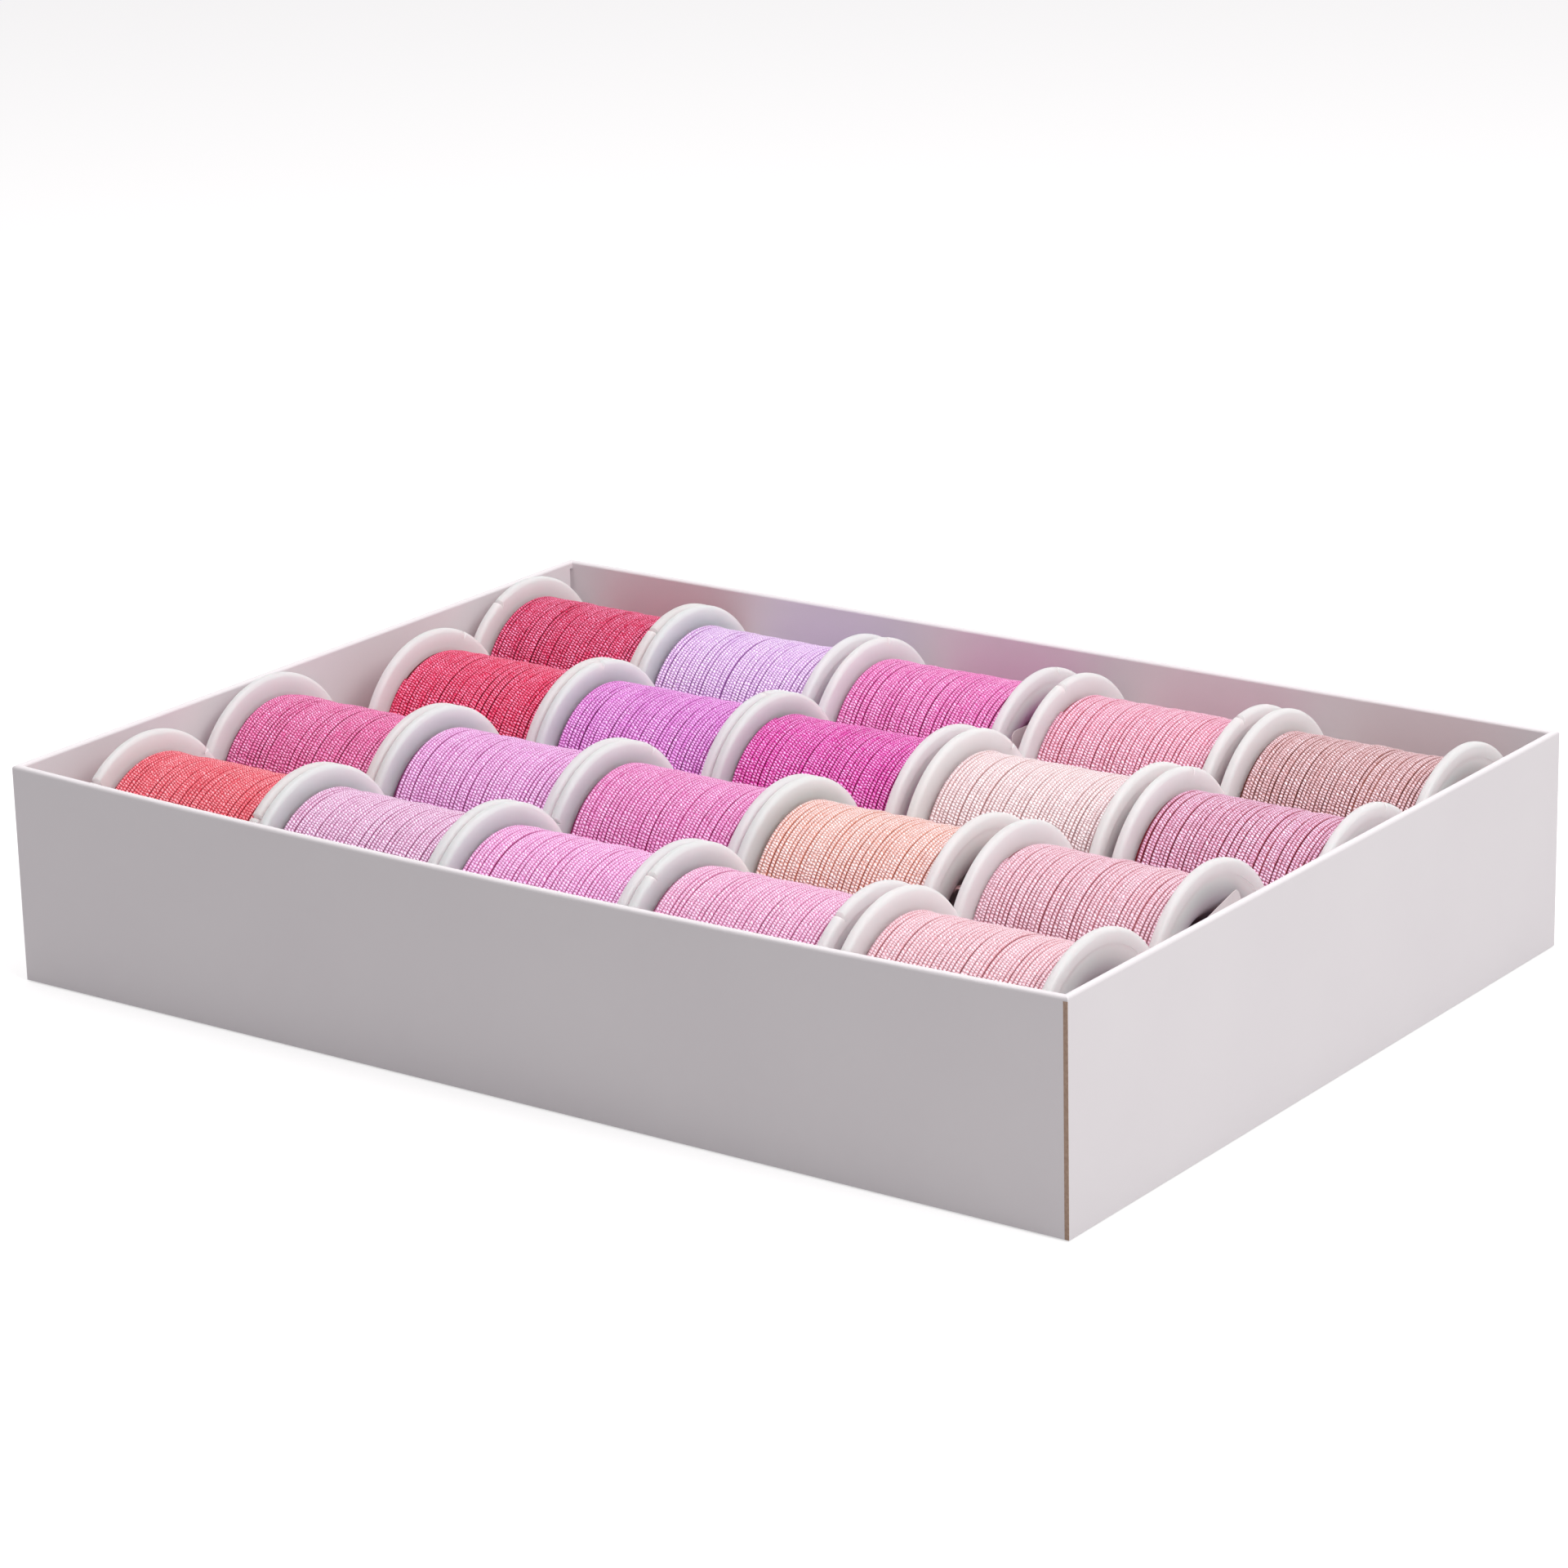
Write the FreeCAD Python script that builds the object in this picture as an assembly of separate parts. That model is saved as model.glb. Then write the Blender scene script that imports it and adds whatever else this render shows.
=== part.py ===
import FreeCAD
import Part
import os

# Open board tray holding twenty flanged thread spools in four nested rows of five.
# Millimetres, +X along the tray, +Y to the back, +Z up, origin at the middle of the underside.

# Plastic spool, measured from its bore outwards
BORE_DIAMETER = 15.2
BELL_RADIUS = 4.6
SPOOL_LENGTH = 30.8
FLANGE_THICKNESS = 1.5
FLANGE_STAND = 3.0
RIM_ROUNDING = 0.6
RIM_RING = 2.0
RING_STEP = 0.15
NOTCH_WIDTH = 0.7
NOTCH_DEPTH = 1.2
NOTCHES = 2
NOTCH_SPACING = 90.0

# Wound thread: one plain sleeve on each spool
THREAD_COVER = 0.8
THREAD_CLEARANCE = 0.15

# How the spools lie: rows count from the back, columns from the left
ROWS = 4
COLUMNS = 5
ROW_CLEARANCE = 0.87
PASS_CLEARANCE = 0.3
FIRST_SPIN = 117.0
SPIN_STEP = 115.0

# Flange slots that each spool of a row lies to the right of the first one
ROW_SLOTS = (
    (0, 0, 1, 3, 4),
    (3, 3, 3, 4, 5),
    (0, 0, 0, 0, 2),
    (2, 2, 2, 2, 3),
)

# Folded board tray with rolled-over double walls
BOARD = 0.5
FOLD_GAP = 0.1
TRAY_HEIGHT = 31.2
SIDE_CLEARANCE = 0.3
FLOOR_CLEARANCE = 0.3
LEFT_ROOM = 3.3
RIGHT_ROOM = 2.0
FRONT_BOW = 2.6
RIM_FOLD = 0.45
CORNER_SLIT = 0.6

# Sizes worked out from the ones above
BORE_RADIUS = BORE_DIAMETER / 2
BARREL_WALL = FLANGE_THICKNESS - RING_STEP
BARREL_RADIUS = BORE_RADIUS + BARREL_WALL
BELL_DEPTH = RING_STEP + BELL_RADIUS
BELL_CREST = BORE_RADIUS + BELL_RADIUS
PACK_RADIUS = BELL_CREST + THREAD_COVER
FLANGE_RADIUS = PACK_RADIUS + FLANGE_STAND
ROW_PITCH = FLANGE_RADIUS + PACK_RADIUS + ROW_CLEARANCE
SPOOL_HEIGHT = BOARD + FLOOR_CLEARANCE + FLANGE_RADIUS
SLOT = FLANGE_THICKNESS + PASS_CLEARANCE
COLUMN_PITCH = SPOOL_LENGTH + PASS_CLEARANCE
WALL = 2 * BOARD + FOLD_GAP
ROW_REACH = (COLUMNS - 1) * COLUMN_PITCH + SPOOL_LENGTH + SLOT * max(max(row) for row in ROW_SLOTS)
INNER_LENGTH = LEFT_ROOM + ROW_REACH + RIGHT_ROOM
INNER_WIDTH = (ROWS - 1) * ROW_PITCH + 2 * (FLANGE_RADIUS + SIDE_CLEARANCE)
TRAY_LENGTH = INNER_LENGTH + 2 * WALL
TRAY_WIDTH = INNER_WIDTH + 2 * WALL

AXIS_X = FreeCAD.Vector(1, 0, 0)
CENTRE = FreeCAD.Vector(0, 0, 0)


def line(start, end):
    """Straight edge between two points."""
    return Part.LineSegment(start, end).toShape()


def tangent_arc(start, direction, end):
    """Edge of the circle that leaves start along direction and ends at end."""
    chord = end - start
    across = chord - direction * chord.dot(direction)
    radius = chord.dot(chord) / (2 * across.Length)
    centre = start + across.normalize() * radius
    middle = (start - centre) + (end - centre)
    return Part.Arc(start, centre + middle.normalize() * radius, end).toShape()


def section(along, out):
    """Point of a turned profile: a distance along the axis and a radius."""
    return FreeCAD.Vector(along, 0, out)


def turned(edges):
    """Solid of revolution about the X axis of a closed profile."""
    return Part.Face(Part.Wire(edges)).revolve(CENTRE, AXIS_X, 360)


def mirrored(points):
    """The same profile points, seen from the spool's other end and in reverse order."""
    return [section(SPOOL_LENGTH - point.x, point.z) for point in reversed(points)]


def chained(points, arcs):
    """Closed profile through points: straight runs, and a quarter round where arcs gives a direction."""
    edges = []
    for index, start in enumerate(points):
        end = points[(index + 1) % len(points)]
        if index in arcs:
            edges.append(tangent_arc(start, arcs[index], end))
        else:
            edges.append(line(start, end))
    return edges


def spool_blank():
    """Turned spool: bore with bell mouths, barrel, and two flanges with rounded rims."""
    left = [
        section(BELL_DEPTH, BARREL_RADIUS),
        section(FLANGE_THICKNESS, BELL_CREST),
        section(FLANGE_THICKNESS, FLANGE_RADIUS - RIM_ROUNDING),
        section(FLANGE_THICKNESS - RIM_ROUNDING, FLANGE_RADIUS),
        section(RIM_ROUNDING, FLANGE_RADIUS),
        section(0, FLANGE_RADIUS - RIM_ROUNDING),
        section(0, FLANGE_RADIUS - RIM_RING),
        section(RING_STEP, FLANGE_RADIUS - RIM_RING),
        section(RING_STEP, BELL_CREST),
        section(BELL_DEPTH, BORE_RADIUS),
    ]
    back, outwards, inwards = section(-1, 0), section(0, 1), section(0, -1)
    arcs = {
        0: back, 2: outwards, 4: back, 8: inwards,
        10: AXIS_X, 14: outwards, 16: AXIS_X, 18: inwards,
    }
    return turned(chained(left + mirrored(left), arcs))


def rim_notch(angle):
    """Wedge that cuts the thread-catch notch through both flange rims at an angle from +Y."""
    half = NOTCH_WIDTH / 2
    mouth = FLANGE_RADIUS * FLANGE_RADIUS / (FLANGE_RADIUS - NOTCH_DEPTH)
    flare = half * (mouth - FLANGE_RADIUS + NOTCH_DEPTH) / NOTCH_DEPTH
    corners = [
        FreeCAD.Vector(0, FLANGE_RADIUS - NOTCH_DEPTH, 0),
        FreeCAD.Vector(0, mouth, -flare),
        FreeCAD.Vector(0, mouth, flare),
    ]
    wedge = Part.Face(Part.makePolygon(corners + corners[:1])).extrude(AXIS_X * SPOOL_LENGTH)
    wedge.rotate(CENTRE, AXIS_X, angle)
    return wedge


def make_spool():
    """One moulded spool with its axis on X and its left end at the origin."""
    spool = spool_blank()
    for index in range(NOTCHES):
        spool = spool.cut(rim_notch(index * NOTCH_SPACING))
    return spool


def make_thread():
    """Wound thread as one sleeve, clear of the barrel, of both bell-shaped hubs and of the flanges."""
    side = FLANGE_THICKNESS + THREAD_CLEARANCE
    left = [
        section(BELL_DEPTH, BARREL_RADIUS + THREAD_CLEARANCE),
        section(side, BELL_CREST),
        section(side, PACK_RADIUS),
    ]
    arcs = {0: section(-1, 0), 4: section(0, -1)}
    return turned(chained(left + mirrored(left), arcs))


def wall_outline(inset, height):
    """Plan of the walls at a height: a rectangle whose front edge bows out in step with the height."""
    half_length = TRAY_LENGTH / 2 - inset
    half_width = TRAY_WIDTH / 2 - inset
    bow = FRONT_BOW * height / TRAY_HEIGHT
    front_left = FreeCAD.Vector(-half_length, -half_width, height)
    front_right = FreeCAD.Vector(half_length, -half_width, height)
    back_right = FreeCAD.Vector(half_length, half_width, height)
    back_left = FreeCAD.Vector(-half_length, half_width, height)
    if bow > 0:
        front = Part.Arc(front_left, FreeCAD.Vector(0, -half_width - bow, height), front_right).toShape()
    else:
        front = line(front_left, front_right)
    return Part.Wire([front, line(front_right, back_right), line(back_right, back_left),
                      line(back_left, front_left)])


def corner_slit(side_x, side_y):
    """Gap at an inside corner where the end wall's rolled-in panel stops short of the long wall."""
    slit = Part.makeBox(BOARD, CORNER_SLIT, TRAY_HEIGHT - BOARD - WALL)
    left = INNER_LENGTH / 2 if side_x > 0 else -INNER_LENGTH / 2 - BOARD
    low = INNER_WIDTH / 2 - CORNER_SLIT if side_y > 0 else -INNER_WIDTH / 2
    slit.translate(FreeCAD.Vector(left, low, BOARD))
    return slit


def make_tray():
    """Board tray: floor, four double walls with folded rims, and a slit at each inside corner."""
    outside = Part.makeLoft([wall_outline(0, 0), wall_outline(0, TRAY_HEIGHT)], True, True)
    above = TRAY_HEIGHT + BOARD
    inside = Part.makeLoft([wall_outline(WALL, BOARD), wall_outline(WALL, above)], True, True)
    tray = outside.cut(inside)
    rims = [edge for edge in tray.Edges if edge.BoundBox.ZMin > TRAY_HEIGHT - BOARD]
    tray = tray.makeFillet(RIM_FOLD, rims)
    for side_x in (-1, 1):
        for side_y in (-1, 1):
            tray = tray.cut(corner_slit(side_x, side_y))
    return tray


def spool_left(row, column):
    """X of a spool's left end: the columns step along, and flanges pass the next row in slots."""
    first = LEFT_ROOM - INNER_LENGTH / 2
    return first + column * COLUMN_PITCH + SLOT * ROW_SLOTS[row][column]


def laid(shape, row, column):
    """A copy of a spool's piece, turned on its axis and laid in its row and column."""
    spin = FIRST_SPIN + SPIN_STEP * (row * COLUMNS + column)
    across = ((ROWS - 1) / 2 - row) * ROW_PITCH
    piece = shape.copy()
    piece.rotate(CENTRE, AXIS_X, spin % 360)
    piece.translate(FreeCAD.Vector(spool_left(row, column), across, SPOOL_HEIGHT))
    return piece


def write(shape, node):
    """Write one node's solid."""
    shape.exportStep("parts/%s.step" % node)


os.makedirs("parts", exist_ok=True)
write(make_tray(), "tray")
spool = make_spool()
thread = make_thread()
for row in range(ROWS):
    for column in range(COLUMNS):
        place = "row%d_col%d" % (row + 1, column + 1)
        write(laid(spool, row, column), "spool_" + place)
        write(laid(thread, row, column), "thread_" + place)
print("tray %.2f x %.2f x %.2f, row pitch %.2f, flange %.2f, pack %.2f"
      % (TRAY_LENGTH, TRAY_WIDTH, TRAY_HEIGHT, ROW_PITCH, 2 * FLANGE_RADIUS, 2 * PACK_RADIUS))
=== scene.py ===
import math

import bpy
import numpy as np
from mathutils import Matrix, Vector


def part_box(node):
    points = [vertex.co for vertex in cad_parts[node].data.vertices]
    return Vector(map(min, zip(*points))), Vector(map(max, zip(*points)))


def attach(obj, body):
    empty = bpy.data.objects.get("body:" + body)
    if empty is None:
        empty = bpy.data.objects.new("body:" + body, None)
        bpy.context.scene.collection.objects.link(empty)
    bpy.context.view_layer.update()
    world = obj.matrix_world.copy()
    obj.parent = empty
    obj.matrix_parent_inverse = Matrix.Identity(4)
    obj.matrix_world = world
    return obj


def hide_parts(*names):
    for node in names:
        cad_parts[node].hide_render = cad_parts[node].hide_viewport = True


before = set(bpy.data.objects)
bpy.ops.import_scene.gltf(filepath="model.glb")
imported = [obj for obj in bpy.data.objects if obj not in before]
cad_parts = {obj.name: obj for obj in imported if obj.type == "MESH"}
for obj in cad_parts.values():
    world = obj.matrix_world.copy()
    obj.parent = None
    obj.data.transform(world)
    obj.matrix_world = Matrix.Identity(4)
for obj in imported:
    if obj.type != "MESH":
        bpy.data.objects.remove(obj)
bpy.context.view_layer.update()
scene = bpy.context.scene
scene.view_settings.view_transform = "Standard"


# Studio: a long lens looks down on the tray's front right corner, as in the photograph.
# The pale floor keeps the tray's shadow, and soft boxes above and to the right light it.
CAMERA_PLACE = (0.39652, -0.54347, 0.24281)
CAMERA_AZIMUTH, CAMERA_ELEVATION, CAMERA_ROLL = (math.radians(angle) for angle in (36.14, 17.86, -1.36))
SENSOR_WIDTH = 36.0
PHOTO_PIXELS, FOCAL_PIXELS = 1920.0, 6304.0
NEAREST, FARTHEST = 0.01, 50.0
WHITE = (1.0, 1.0, 1.0, 1.0)
FLOOR_REACH, FLOOR_DROP = 4.0, 0.0002
FLOOR_GREY, FLOOR_GLOW = (0.52, 0.52, 0.52, 1.0), 0.62
SKY_TINT = (1.0, 0.945, 0.98, 1.0)
SKY_LIGHTING, SKY_SEEN = 0.39, 1.0
SOFT_BOX_SIDE = 0.5
SOFT_BOX_COLOUR = (1.0, 0.985, 0.975)

camera = bpy.data.objects.new("camera", bpy.data.cameras.new("camera"))
scene.collection.objects.link(camera)
towards_camera = Vector((math.sin(CAMERA_AZIMUTH) * math.cos(CAMERA_ELEVATION),
                         -math.cos(CAMERA_AZIMUTH) * math.cos(CAMERA_ELEVATION), math.sin(CAMERA_ELEVATION)))
level_right = Vector((math.cos(CAMERA_AZIMUTH), math.sin(CAMERA_AZIMUTH), 0.0))
level_up = towards_camera.cross(level_right)
camera_right = level_right * math.cos(CAMERA_ROLL) + level_up * math.sin(CAMERA_ROLL)
camera_up = level_up * math.cos(CAMERA_ROLL) - level_right * math.sin(CAMERA_ROLL)
camera.matrix_world = (Matrix.Translation(CAMERA_PLACE)
                       @ Matrix((camera_right, camera_up, towards_camera)).transposed().to_4x4())
camera.data.sensor_width = SENSOR_WIDTH
camera.data.lens = SENSOR_WIDTH * FOCAL_PIXELS / PHOTO_PIXELS
camera.data.clip_start = NEAREST
camera.data.clip_end = FARTHEST
scene.camera = camera


def add_node(tree, kind, **values):
    """A node of a kind, with its settings and its input sockets set by name."""
    node = tree.nodes.new(kind)
    for name, value in values.items():
        if hasattr(node, name):
            setattr(node, name, value)
        else:
            node.inputs[name.replace("_", " ")].default_value = value
    return node


def math_node(tree, operation, first, second=None):
    """Result of a Math node whose inputs are sockets or plain numbers."""
    node = add_node(tree, "ShaderNodeMath", operation=operation)
    for socket, value in zip(node.inputs, (first, second)):
        if value is None:
            continue
        if isinstance(value, (int, float)):
            socket.default_value = value
        else:
            tree.links.new(value, socket)
    return node.outputs[0]


def ranged(tree, value, low, high, start=0.0, end=1.0):
    """A socket's value carried straight from the range low to high over to start to end, and held at both."""
    node = add_node(tree, "ShaderNodeMapRange", From_Min=low, From_Max=high, To_Min=start, To_Max=end)
    tree.links.new(value, node.inputs["Value"])
    return node.outputs[0]


def mixed(tree, share, first, second):
    """Colour that goes from first to second with a share; each is a socket or a colour."""
    node = add_node(tree, "ShaderNodeMix", data_type="RGBA")
    tree.links.new(share, node.inputs["Factor"])
    for socket, value in ((node.inputs[6], first), (node.inputs[7], second)):
        if isinstance(value, tuple):
            socket.default_value = value
        else:
            tree.links.new(value, socket)
    return node.outputs[2]


def seen_ray(tree):
    """1 on rays from the camera, or from gloss or glass that it sees, and 0 on rays that light things."""
    path = tree.nodes.new("ShaderNodeLightPath")
    mirrored = math_node(tree, "MAXIMUM", path.outputs["Is Glossy Ray"], path.outputs["Is Transmission Ray"])
    return math_node(tree, "MAXIMUM", path.outputs["Is Camera Ray"], mirrored)


def new_piece(name, points, faces, material):
    """An object in the scene, whose mesh has these points, faces and material."""
    mesh = bpy.data.meshes.new(name)
    mesh.from_pydata(points, [], faces)
    mesh.materials.append(material)
    piece = bpy.data.objects.new(name, mesh)
    scene.collection.objects.link(piece)
    return piece


def pale_floor():
    """Matt grey floor that keeps shadows, with a level glow that only seen rays meet."""
    material = bpy.data.materials.new("pale_floor")
    material.use_nodes = True
    tree = material.node_tree
    tree.nodes.clear()
    matt = add_node(tree, "ShaderNodeBsdfDiffuse", Color=FLOOR_GREY)
    glow = add_node(tree, "ShaderNodeEmission", Color=WHITE)
    tree.links.new(math_node(tree, "MULTIPLY", seen_ray(tree), FLOOR_GLOW), glow.inputs["Strength"])
    both = tree.nodes.new("ShaderNodeAddShader")
    tree.links.new(matt.outputs[0], both.inputs[0])
    tree.links.new(glow.outputs[0], both.inputs[1])
    surface = tree.nodes.new("ShaderNodeOutputMaterial").inputs["Surface"]
    tree.links.new(both.outputs[0], surface)
    return material


floor_corners = [(x * FLOOR_REACH, y * FLOOR_REACH, -FLOOR_DROP)
                 for x, y in ((-1, -1), (1, -1), (1, 1), (-1, 1))]
floor = new_piece("floor", floor_corners, [(0, 1, 2, 3)], pale_floor())

world = bpy.data.worlds.new("studio")
scene.world = world
world.use_nodes = True
sky_tree = world.node_tree
sky = sky_tree.nodes["Background"]
seen = seen_ray(sky_tree)
sky_tree.links.new(ranged(sky_tree, seen, 0.0, 1.0, SKY_LIGHTING, SKY_SEEN), sky.inputs["Strength"])
sky_tree.links.new(mixed(sky_tree, seen, SKY_TINT, WHITE), sky.inputs["Color"])


def soft_box(name, place, aim, watts):
    """A square soft box at a place, facing a point."""
    lamp = bpy.data.objects.new(name, bpy.data.lights.new(name, "AREA"))
    lamp.data.shape = "SQUARE"
    lamp.data.size = SOFT_BOX_SIDE
    lamp.data.energy = watts
    lamp.data.color = SOFT_BOX_COLOUR
    lamp.location = place
    lamp.rotation_euler = (Vector(aim) - Vector(place)).to_track_quat("-Z", "Y").to_euler()
    scene.collection.objects.link(lamp)


soft_box("soft_box_top", place=(-0.10, 0.06, 0.77), aim=(0.0, 0.0, 0.0), watts=2.7)
soft_box("soft_box_right", place=(0.62, -0.06, 0.72), aim=(0.0, 0.0, 0.02), watts=4.6)


# Tray: one blank of white coated board, folded up into a floor and four double walls.
# The coat is satin and faintly mottled; where the board was cut, its raw grey-brown core shows.
BOARD = 0.0005
TRAY_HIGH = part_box("tray")[1]

# A cut end is a strip this wide at the tray's end, this deep into the wall's face, and below the rim's fold
CUT_WIDTH, CUT_DEPTH = 1.25 * BOARD, 0.00006
RIM_FOLD = 1.2 * BOARD


def srgb(red, green, blue):
    """Scene-linear colour of an 8-bit display colour."""
    levels = np.array((red, green, blue), float) / 255.0
    linear = np.where(levels <= 0.04045, levels / 12.92, ((levels + 0.055) / 1.055) ** 2.4)
    return (*linear.tolist(), 1.0)


BOARD_COAT = (srgb(233, 229, 232), srgb(239, 236, 238))
BOARD_CORE = (srgb(150, 118, 100), srgb(196, 170, 150))


def new_material(name, **values):
    """A material with nodes, its node tree and its Principled shader, with sockets set by name."""
    material = bpy.data.materials.new(name)
    material.use_nodes = True
    shader = material.node_tree.nodes["Principled BSDF"]
    for socket, value in values.items():
        shader.inputs[socket.replace("_", " ")].default_value = value
    return material, material.node_tree, shader


def object_point(tree):
    """The point on the piece, in the shared frame."""
    return tree.nodes.new("ShaderNodeTexCoord").outputs["Object"]


def point_noise(tree, point, scale, detail):
    """Smooth noise at a point, with a scale in lumps per unit and finer layers as the detail says."""
    noise = add_node(tree, "ShaderNodeTexNoise", Scale=scale, Detail=detail)
    tree.links.new(point, noise.inputs["Vector"])
    return noise.outputs["Fac"]


def bumped(tree, shader, height, distance, strength):
    """Relief of a height socket on a shader, over a distance in metres."""
    bump = add_node(tree, "ShaderNodeBump", Distance=distance, Strength=strength)
    tree.links.new(height, bump.inputs["Height"])
    tree.links.new(bump.outputs["Normal"], shader.inputs["Normal"])


def coated_board():
    """White coated board: large faint mottling and a fine tooth, and the raw core on two cut ends, one on the
    front wall's right end and one, half a turn round the tray, on the back wall's left end."""
    material, tree, shader = new_material("coated_board", Roughness=0.46, Specular_IOR_Level=0.42)
    point = object_point(tree)
    split = tree.nodes.new("ShaderNodeSeparateXYZ")
    tree.links.new(point, split.inputs[0])
    coat = mixed(tree, point_noise(tree, point, scale=45.0, detail=3.0), *BOARD_COAT)
    core = mixed(tree, point_noise(tree, point, scale=2600.0, detail=3.0), *BOARD_CORE)
    ends = []
    for way in (1.0, -1.0):
        along = math_node(tree, "MULTIPLY", split.outputs["X"], way)
        across = math_node(tree, "MULTIPLY", split.outputs["Y"], way)
        at_end = math_node(tree, "GREATER_THAN", along, TRAY_HIGH.x - CUT_WIDTH)
        on_face = math_node(tree, "LESS_THAN", across, CUT_DEPTH - TRAY_HIGH.y)
        ends.append(math_node(tree, "MULTIPLY", at_end, on_face))
    below_rim = math_node(tree, "LESS_THAN", split.outputs["Z"], TRAY_HIGH.z - RIM_FOLD)
    cut_end = math_node(tree, "MULTIPLY", math_node(tree, "MAXIMUM", *ends), below_rim)
    tree.links.new(mixed(tree, cut_end, coat, core), shader.inputs["Base Color"])
    tooth = point_noise(tree, point, scale=5200.0, detail=2.0)
    bumped(tree, shader, tooth, distance=0.00002, strength=0.25)
    return material


def dress(node, material):
    """Gives a CAD node its finished material."""
    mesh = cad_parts[node].data
    mesh.materials.clear()
    mesh.materials.append(material)


dress("tray", coated_board())


# Spools: one moulding each of white plastic, a hollow barrel between two thin flanges.
# The plastic is satin and lets a little light through; round the bell mouth a painted glow of the thread's
# colour is mixed into it.
BELL_CREST = 0.0122
# Painted glow: how far either side of the bell mouth's crest the thread's colour is painted into the plastic,
# and its top share
PAINTED_GLOW_BAND, PAINTED_GLOW_PEAK = 0.0012, 0.8
PLASTIC_WHITE = (srgb(248, 238, 238), srgb(252, 245, 245))

# Colours of each spool's winding, by the spool's place: its name, the painted shade in the grooves,
# the cord's own colour, the painted glint colour, and how much of it takes the painted glints
THREADS = {
    "row1_col1": ("crimson", srgb(116, 0, 26), srgb(222, 34, 92), srgb(252, 172, 212), 0.66),
    "row1_col2": ("pale_lavender", srgb(166, 114, 176), srgb(228, 196, 240), srgb(250, 238, 255), 0.64),
    "row1_col3": ("hot_orchid", srgb(160, 38, 110), srgb(238, 120, 194), srgb(255, 208, 244), 0.68),
    "row1_col4": ("salmon", srgb(188, 92, 106), srgb(232, 172, 200), srgb(255, 230, 244), 0.68),
    "row1_col5": ("dusty_rose", srgb(132, 70, 52), srgb(214, 172, 178), srgb(252, 232, 240), 0.70),
    "row2_col1": ("scarlet", srgb(126, 0, 22), srgb(236, 34, 92), srgb(255, 172, 208), 0.66),
    "row2_col2": ("violet_orchid", srgb(136, 42, 118), srgb(232, 138, 226), srgb(250, 208, 252), 0.66),
    "row2_col3": ("fuchsia", srgb(136, 0, 80), srgb(232, 66, 180), srgb(253, 196, 246), 0.68),
    "row2_col4": ("blush_cream", srgb(200, 162, 160), srgb(232, 214, 220), srgb(254, 246, 248), 0.64),
    "row2_col5": ("mauve_pink", srgb(150, 50, 62), srgb(222, 164, 198), srgb(252, 228, 250), 0.72),
    "row3_col1": ("raspberry", srgb(122, 6, 54), srgb(240, 106, 172), srgb(254, 198, 234), 0.66),
    "row3_col2": ("light_orchid", srgb(160, 70, 132), srgb(236, 174, 230), srgb(252, 222, 254), 0.66),
    "row3_col3": ("rose_pink", srgb(162, 42, 108), srgb(236, 144, 206), srgb(253, 212, 244), 0.68),
    "row3_col4": ("peach", srgb(198, 122, 92), srgb(234, 202, 202), srgb(254, 242, 242), 0.66),
    "row3_col5": ("dusty_pink", srgb(180, 110, 118), srgb(232, 192, 210), srgb(252, 230, 240), 0.66),
    "row4_col1": ("coral_red", srgb(154, 22, 40), srgb(242, 100, 116), srgb(254, 188, 198), 0.64),
    "row4_col2": ("pale_lilac_pink", srgb(164, 90, 132), srgb(230, 190, 222), srgb(252, 232, 252), 0.64),
    "row4_col3": ("bright_orchid_pink", srgb(182, 86, 142), srgb(238, 178, 228), srgb(254, 222, 250), 0.64),
    "row4_col4": ("soft_pink", srgb(186, 102, 142), srgb(236, 184, 218), srgb(253, 226, 244), 0.64),
    "row4_col5": ("pale_blush", srgb(194, 130, 136), srgb(234, 200, 212), srgb(252, 230, 238), 0.64),
}
SPOOL_CENTRES = {place: sum(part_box("spool_" + place), Vector()) / 2.0 for place in THREADS}


def spool_plastic(place, glow):
    """White moulded plastic: slight cloudiness, a soft glow from inside and a very faint moulded skin. Round
    the bell mouth's crest the thread's colour is painted in, a painted glow standing in for the winding's
    light."""
    material, tree, shader = new_material("spool_plastic_" + place, Roughness=0.4, Specular_IOR_Level=0.42,
                                          Subsurface_Weight=0.9, Subsurface_Radius=(1.0, 0.72, 0.76),
                                          Subsurface_Scale=0.011)
    point = object_point(tree)
    from_axis = add_node(tree, "ShaderNodeVectorMath", operation="MULTIPLY_ADD")
    from_axis.inputs[1].default_value = (0.0, 1.0, 1.0)
    from_axis.inputs[2].default_value = (0.0, -SPOOL_CENTRES[place].y, -SPOOL_CENTRES[place].z)
    tree.links.new(point, from_axis.inputs[0])
    radius = add_node(tree, "ShaderNodeVectorMath", operation="LENGTH")
    tree.links.new(from_axis.outputs["Vector"], radius.inputs[0])
    # Painted glow: the thread's colour mixed into the plastic round the bell mouth's crest, standing in for
    # the winding's light
    painted_glow_mask = ranged(tree, radius.outputs["Value"], BELL_CREST + PAINTED_GLOW_BAND, BELL_CREST - PAINTED_GLOW_BAND,
                  end=PAINTED_GLOW_PEAK)
    white = mixed(tree, point_noise(tree, point, scale=160.0, detail=3.0), *PLASTIC_WHITE)
    tree.links.new(mixed(tree, painted_glow_mask, white, glow), shader.inputs["Base Color"])
    skin = point_noise(tree, point, scale=1800.0, detail=2.0)
    bumped(tree, shader, skin, distance=0.00002, strength=0.12)
    return material


# Each spool's painted glow takes its thread's own colour
for place, (_, _, body, _, _) in THREADS.items():
    dress("spool_" + place, spool_plastic(place, glow=body))


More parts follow.
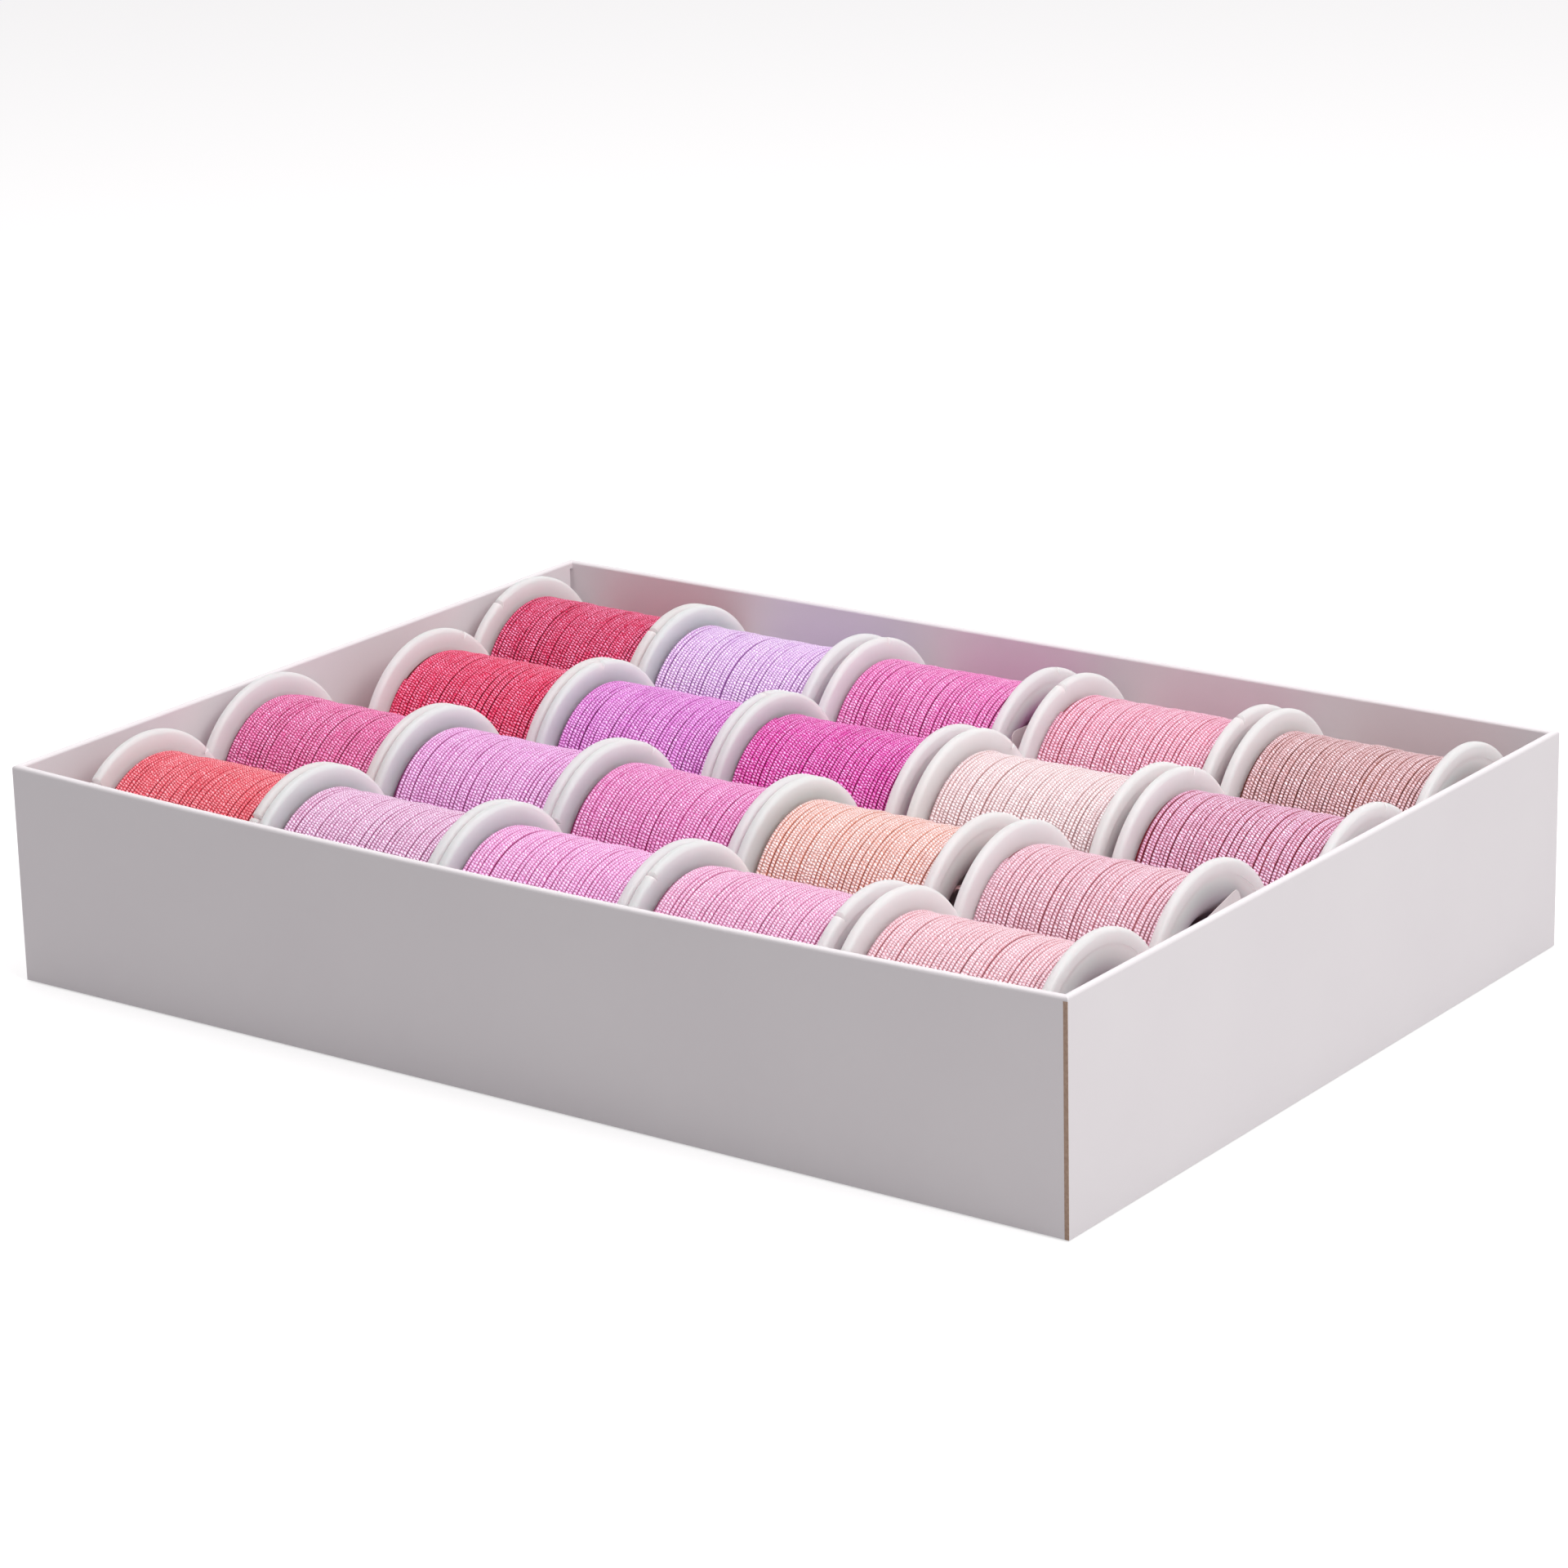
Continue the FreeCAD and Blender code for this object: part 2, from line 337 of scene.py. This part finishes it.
# Thread: forty-three turns of a fine twisted cord lie side by side on each spool, over the inner layers.
# Each turn presses against the next and wanders a little; shade in its grooves and glints along its twist are
# painted.
SPOOL_LENGTH, FLANGE = 0.0308, 0.0015
TURNS, STEPS, SIDES = 43, 56, 8
CORD_WIDTH, CORD_HEIGHT = 0.00070, 0.00066
CORD_PLAY = 0.0001
WINDING_RADIUS = 0.01306
WINDING_ROOM = SPOOL_LENGTH - 2.0 * FLANGE - CORD_WIDTH - CORD_PLAY
SLEEVE_INNER, SLEEVE_OUTER, SLEEVE_SEGMENTS = 0.0115, 0.01272, 96
SLEEVE_GAP = 0.0003
SLEEVE_HALF_LENGTH = SPOOL_LENGTH / 2.0 - FLANGE - SLEEVE_GAP

# Random draws: the first spool's seed, and how far a drawn angle may go, about a whole turn
FIRST_SEED, ANY_ANGLE = 100, 6.28

# How unevenly the cord lies: sizes in metres, or for WANDER a share of the pitch, and changes per turn
TILT = 0.00018
DRIFT, DRIFT_RATE = 0.00006, 0.35
WANDER, WANDER_RATE = 0.13, 2.3
SWELL, SWELL_RATE = 0.00011, 0.28
RIPPLE, RIPPLE_RATE = 0.00005, 2.1

# The cord's twist: a bead's length in millimetres, its slant and its unevenness in beads,
# where on its wave a bead starts and is full, and how light the cord stays in the painted shade between beads
BEAD_LENGTH, BEAD_SLANT, BEAD_UNEVEN = 0.42, 1.4, 2.2
BEAD_FOOT, BEAD_TOP, BEAD_GAP_LIGHT = -0.55, 0.65, 0.55

# Shares of the way round the cord, from the middle of its crest: where the crest ends,
# where the painted groove shade is full, and how ragged that border is
CREST_END, GROOVE_SHADE_FULL, RAGGED = 0.12, 0.27, 0.12

# Painted glints, in specks and larger patches: their weights, the noise between which they come on
# and how far a thread's share of glints shifts it, and how noise stretches along, round and across the turns
GLINT_SPECK_WEIGHT, GLINT_PATCH_WEIGHT = 0.6, 0.4
GLINT_START, GLINT_FULL, GLINT_SHIFT = 0.58, 0.92, 0.4
GLINT_SPECK_STRETCH, GLINT_PATCH_STRETCH, UNEVEN_STRETCH = (2.2, 2.0, 9.0), (0.13, 0.3, 0.6), (0.8, 0.6, 5.0)


def wander(at, rng):
    """Smooth random line: random heights at whole numbers, joined by ease curves and read at places."""
    heights = rng.uniform(-1.0, 1.0, int(at.max()) + 3)
    low = np.floor(at).astype(int)
    share = at - low
    ease = share * share * (3.0 - 2.0 * share)
    return heights[low] + (heights[low + 1] - heights[low]) * ease


def wound_line(rng):
    """Angle, place along the axis and radius of the wound cord: the place climbs evenly with the angle, all
    turns share a tilt and a slow drift, each wanders on its own, and the radius swells along the spool."""
    angle = np.linspace(0.0, 2.0 * np.pi * TURNS, TURNS * STEPS + 1)
    count = angle / (2.0 * np.pi)
    pitch = WINDING_ROOM / TURNS
    along = (count / TURNS - 0.5) * WINDING_ROOM
    ease = np.minimum(1.0, np.minimum(count, TURNS - count) / 2.0)
    sway = TILT * np.sin(angle + rng.uniform(0.0, ANY_ANGLE)) + DRIFT * wander(count * DRIFT_RATE, rng)
    own = WANDER * pitch * wander(count * WANDER_RATE, rng)
    along = along + ease * (sway + own)
    swell = SWELL * wander(count * SWELL_RATE, rng) + RIPPLE * wander(count * RIPPLE_RATE, rng)
    radius = WINDING_RADIUS - CORD_HEIGHT / 2.0 + swell
    return angle, np.clip(along, -WINDING_ROOM / 2.0, WINDING_ROOM / 2.0), radius


def cord_mesh(angle, along, radius, centre):
    """Flattened tube round the X axis: an ellipse, wide along the axis, carried along the wound line.
    Returns points, faces and each point's length along the cord in millimetres, share round it and turn."""
    round_cord = 2.0 * np.pi * np.arange(SIDES) / SIDES - np.pi / 2.0
    out = radius[:, None] + CORD_HEIGHT / 2.0 * np.sin(round_cord)[None, :]
    points = np.stack([along[:, None] + CORD_WIDTH / 2.0 * np.cos(round_cord)[None, :],
                       out * np.cos(angle)[:, None], out * np.sin(angle)[:, None]], axis=-1)
    step = np.hypot(np.diff(angle) * 0.5 * (radius[1:] + radius[:-1]), np.diff(along))
    length = np.concatenate([[0.0], np.cumsum(step)]) * 1000.0
    facts = np.stack(np.broadcast_arrays(length[:, None], (np.arange(SIDES) / SIDES)[None, :],
                                         (angle / (2.0 * np.pi))[:, None]), axis=-1)
    ring = np.arange(len(angle) - 1)[:, None] * SIDES
    side = np.arange(SIDES)[None, :]
    beside = (side + 1) % SIDES
    faces = np.stack([ring + side, ring + beside, ring + SIDES + beside, ring + SIDES + side], axis=-1)
    caps = [list(range(SIDES))[::-1], list(range((len(angle) - 1) * SIDES, len(angle) * SIDES))]
    faces = faces.reshape(-1, 4).tolist() + caps
    return points.reshape(-1, 3) + np.array(centre), faces, facts.reshape(-1, 3)


def sleeve_mesh(centre):
    """Closed sleeve on the X axis: a rectangle of an inner and an outer radius turned round it."""
    turn = 2.0 * np.pi * np.arange(SLEEVE_SEGMENTS) / SLEEVE_SEGMENTS
    ends = np.array([-1.0, 1.0, 1.0, -1.0]) * SLEEVE_HALF_LENGTH
    radii = np.array([SLEEVE_OUTER, SLEEVE_OUTER, SLEEVE_INNER, SLEEVE_INNER])
    points = np.stack(np.broadcast_arrays(ends[None, :], radii[None, :] * np.cos(turn)[:, None],
                                          radii[None, :] * np.sin(turn)[:, None]), axis=-1)
    ring = np.arange(SLEEVE_SEGMENTS)[:, None] * 4
    after = (np.arange(SLEEVE_SEGMENTS)[:, None] + 1) % SLEEVE_SEGMENTS * 4
    corner = np.arange(4)[None, :]
    beside = (corner + 1) % 4
    faces = np.stack([ring + corner, after + corner, after + beside, ring + beside], axis=-1)
    return points.reshape(-1, 3) + np.array(centre), faces.reshape(-1, 4).tolist()


def cord_noise(tree, facts, stretch):
    """Noise that follows the cord: its length, the share round it and its turn, each times a stretch."""
    scaled = add_node(tree, "ShaderNodeVectorMath", operation="MULTIPLY")
    scaled.inputs[1].default_value = stretch
    tree.links.new(facts, scaled.inputs[0])
    return point_noise(tree, scaled.outputs[0], scale=1.0, detail=2.0)


def weighed(tree, first, first_weight, second, second_weight):
    """Sum of two sockets, each times its weight."""
    return math_node(tree, "ADD", math_node(tree, "MULTIPLY", first, first_weight),
                     math_node(tree, "MULTIPLY", second, second_weight))


def thread_finish(name, groove_shade, body, painted_glint, painted_glint_amount):
    """Glossy twisted cord: a spiral of filament gives slanted beads along the cord. Shade is painted on its
    flanks towards the groove and between beads, and highlights are painted on some beads; the last argument
    says how many."""
    material, tree, shader = new_material("thread_" + name, Roughness=0.44, Specular_IOR_Level=0.2,
                                          Metallic=0.42, Anisotropic=0.6)
    facts = add_node(tree, "ShaderNodeAttribute", attribute_name="cord").outputs["Vector"]
    split = tree.nodes.new("ShaderNodeSeparateXYZ")
    tree.links.new(facts, split.inputs[0])
    length, share = split.outputs["X"], split.outputs["Y"]
    uneven = cord_noise(tree, facts, UNEVEN_STRETCH)
    beads = math_node(tree, "ADD", math_node(tree, "DIVIDE", length, BEAD_LENGTH),
                      weighed(tree, share, BEAD_SLANT, uneven, BEAD_UNEVEN))
    crown = math_node(tree, "SINE", math_node(tree, "MULTIPLY", beads, 2.0 * math.pi))
    bead = ranged(tree, crown, BEAD_FOOT, BEAD_TOP)
    # Painted shade: the cord's flanks towards the groove, and the gaps between beads, go to the groove-shade
    # colour
    from_crest = math_node(tree, "ABSOLUTE", math_node(tree, "SUBTRACT", share, 0.5))
    flank = math_node(tree, "ADD", from_crest, math_node(tree, "MULTIPLY", uneven, RAGGED))
    crest = ranged(tree, flank, GROOVE_SHADE_FULL, CREST_END)
    painted_light_share = math_node(tree, "MULTIPLY", crest, ranged(tree, bead, 0.0, 1.0, start=BEAD_GAP_LIGHT))
    # Painted highlights: noisy specks and patches on the bead tops of each crest take the glint colour
    glint_noise = weighed(tree, cord_noise(tree, facts, GLINT_SPECK_STRETCH), GLINT_SPECK_WEIGHT,
                     cord_noise(tree, facts, GLINT_PATCH_STRETCH), GLINT_PATCH_WEIGHT)
    shift = GLINT_SHIFT * painted_glint_amount
    painted_glint_spots = ranged(tree, glint_noise, GLINT_START - shift, GLINT_FULL - shift)
    painted_shine = math_node(tree, "MULTIPLY", math_node(tree, "MULTIPLY", painted_glint_spots, bead), crest)
    tree.links.new(mixed(tree, painted_shine, mixed(tree, painted_light_share, groove_shade, body), painted_glint), shader.inputs["Base Color"])
    round_axis = add_node(tree, "ShaderNodeTangent", direction_type="RADIAL", axis="X")
    tree.links.new(round_axis.outputs[0], shader.inputs["Tangent"])
    bumped(tree, shader, crown, distance=0.00004, strength=0.8)
    return material


for number, place in enumerate(THREADS):
    rng = np.random.default_rng(FIRST_SEED + number)
    angle, along, radius = wound_line(rng)
    points, faces, facts = cord_mesh(angle + rng.uniform(0.0, ANY_ANGLE), along, radius, SPOOL_CENTRES[place])
    inner_points, inner_faces = sleeve_mesh(SPOOL_CENTRES[place])
    faces += (np.array(inner_faces) + len(points)).tolist()
    # The inner layers get zero cord facts, so all of them take the painted groove shade
    facts = np.concatenate([facts, np.zeros_like(inner_points)])
    points = np.concatenate([points, inner_points])
    winding = new_piece("winding_" + place, points.tolist(), faces, thread_finish(*THREADS[place]))
    winding.data.polygons.foreach_set("use_smooth", np.ones(len(faces), bool))
    cord = winding.data.attributes.new("cord", "FLOAT_VECTOR", "POINT")
    cord.data.foreach_set("vector", facts.ravel())
    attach(winding, place)
    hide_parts("thread_" + place)


# Stickers: blank square paper labels with rounded corners, stuck over the bore in three spools' right ends.
# Their corners just reach the flat ring round the bell mouth, and the middle sags a little into the hollow.
STICKER_SIDE, STICKER_CORNER = 0.018, 0.0012
STICKER_THICKNESS, STICKER_SAG = 0.0001, 0.00025
STICKER_RINGS, STICKER_SEGMENTS = 10, 96
STICKER_TILTS = {"row1_col3": -2.0, "row2_col5": -23.0, "row3_col5": 15.0}
PAPER_WHITE = (srgb(240, 232, 233), srgb(248, 243, 243))
RING_STEP = 0.00015


def sticker_mesh(centre, tilt):
    """Thin closed leaf across the X axis: a rounded square's outline shrunk towards its middle, front and
    back, with the distance to the outline taken along straight sides and round corner arcs."""
    flat = STICKER_SIDE / 2.0 - STICKER_CORNER
    turn = 2.0 * np.pi * (np.arange(STICKER_SEGMENTS) + 0.5) / STICKER_SEGMENTS
    way = np.stack([np.cos(turn), np.sin(turn)], axis=-1)
    straight = (STICKER_SIDE / 2.0) / np.abs(way).max(axis=1)
    corner = np.abs(way).sum(axis=1) * flat
    inside = corner ** 2 - 2.0 * flat ** 2 + STICKER_CORNER ** 2
    arc = corner + np.sqrt(np.maximum(inside, 0.0))
    at_corner = (straight * np.abs(way).min(axis=1)) > flat
    reach = np.where(at_corner, arc, straight)
    out = (np.arange(1, STICKER_RINGS + 1) / STICKER_RINGS)[:, None] * reach[None, :]
    sag = STICKER_SAG * np.clip(1.0 - (out / BELL_CREST) ** 2, 0.0, 1.0) ** 2
    around = turn + tilt
    seat = centre[0] + SPOOL_LENGTH / 2.0 - RING_STEP
    layers = []
    for lift in (STICKER_THICKNESS, 0.0):
        leaf = np.stack([seat + lift - sag, centre[1] + out * np.cos(around)[None, :],
                         centre[2] + out * np.sin(around)[None, :]], axis=-1).reshape(-1, 3)
        middle = np.array([[seat + lift - STICKER_SAG, centre[1], centre[2]]])
        layers.append(np.concatenate([middle, leaf]))
    count = 1 + STICKER_RINGS * STICKER_SEGMENTS
    side = np.arange(STICKER_SEGMENTS)
    beside = (side + 1) % STICKER_SEGMENTS
    ring = 1 + np.arange(STICKER_RINGS - 1)[:, None] * STICKER_SEGMENTS
    after = ring + STICKER_SEGMENTS
    quads = np.stack([ring + side, after + side, after + beside, ring + beside], axis=-1).reshape(-1, 4)
    fan = np.stack([np.zeros_like(side), 1 + side, 1 + beside], axis=-1)
    edge = 1 + (STICKER_RINGS - 1) * STICKER_SEGMENTS
    rim = np.stack([edge + side, count + edge + side, count + edge + beside, edge + beside], axis=-1)
    front = quads.tolist() + fan.tolist()
    back = (quads[:, ::-1] + count).tolist() + (fan[:, ::-1] + count).tolist()
    return np.concatenate(layers), front + back + rim.tolist()


def label_paper():
    """White uncoated paper: faint fibres in its colour and its relief."""
    material, tree, shader = new_material("label_paper", Roughness=0.62, Specular_IOR_Level=0.3)
    fibre = point_noise(tree, object_point(tree), scale=2400.0, detail=3.0)
    tree.links.new(mixed(tree, fibre, *PAPER_WHITE), shader.inputs["Base Color"])
    bumped(tree, shader, fibre, distance=0.00002, strength=0.3)
    return material


paper = label_paper()
for place, tilt in STICKER_TILTS.items():
    points, faces = sticker_mesh(SPOOL_CENTRES[place], math.radians(tilt))
    sticker = new_piece("sticker_" + place, points.tolist(), faces, paper)
    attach(sticker, place)


# Thread tail: two loose ends of pale fine thread come out of one spool's bore, where they are tucked in.
# They lie on its bell mouth and stand out past its end.
TAIL_PLACE = "row3_col4"
TAIL_RADIUS = 0.00014
TAIL_COLOUR = srgb(236, 204, 206)

# Control points of each end, in millimetres from the middle of the spool's right end
TAIL_ENDS = (
    ((-8.0, -4.6, 5.6), (-4.8, -4.7, 5.8), (-1.5, -5.4, 7.0), (0.2, -6.4, 8.5), (1.9, -6.0, 7.5)),
    ((-8.0, -4.0, 6.1), (-4.8, -4.1, 6.2), (-1.5, -4.6, 7.5), (0.3, -5.4, 8.3), (1.8, -5.2, 7.3)),
)
tail_thread = new_material("thread_tail", Base_Color=TAIL_COLOUR, Roughness=0.5)[0]
tail_origin = SPOOL_CENTRES[TAIL_PLACE] + Vector((SPOOL_LENGTH / 2.0, 0.0, 0.0))
for number, ends in enumerate(TAIL_ENDS, 1):
    curve = bpy.data.curves.new("thread_tail_%d" % number, "CURVE")
    curve.dimensions = "3D"
    curve.bevel_depth = TAIL_RADIUS
    curve.bevel_resolution = 2
    spline = curve.splines.new("NURBS")
    spline.points.add(len(ends) - 1)
    for control, offset in zip(spline.points, ends):
        control.co = (*(tail_origin + Vector(offset) / 1000.0), 1.0)
    spline.order_u = 3
    spline.use_endpoint_u = True
    curve.materials.append(tail_thread)
    tail = bpy.data.objects.new("thread_tail_%d" % number, curve)
    scene.collection.objects.link(tail)
    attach(tail, TAIL_PLACE)
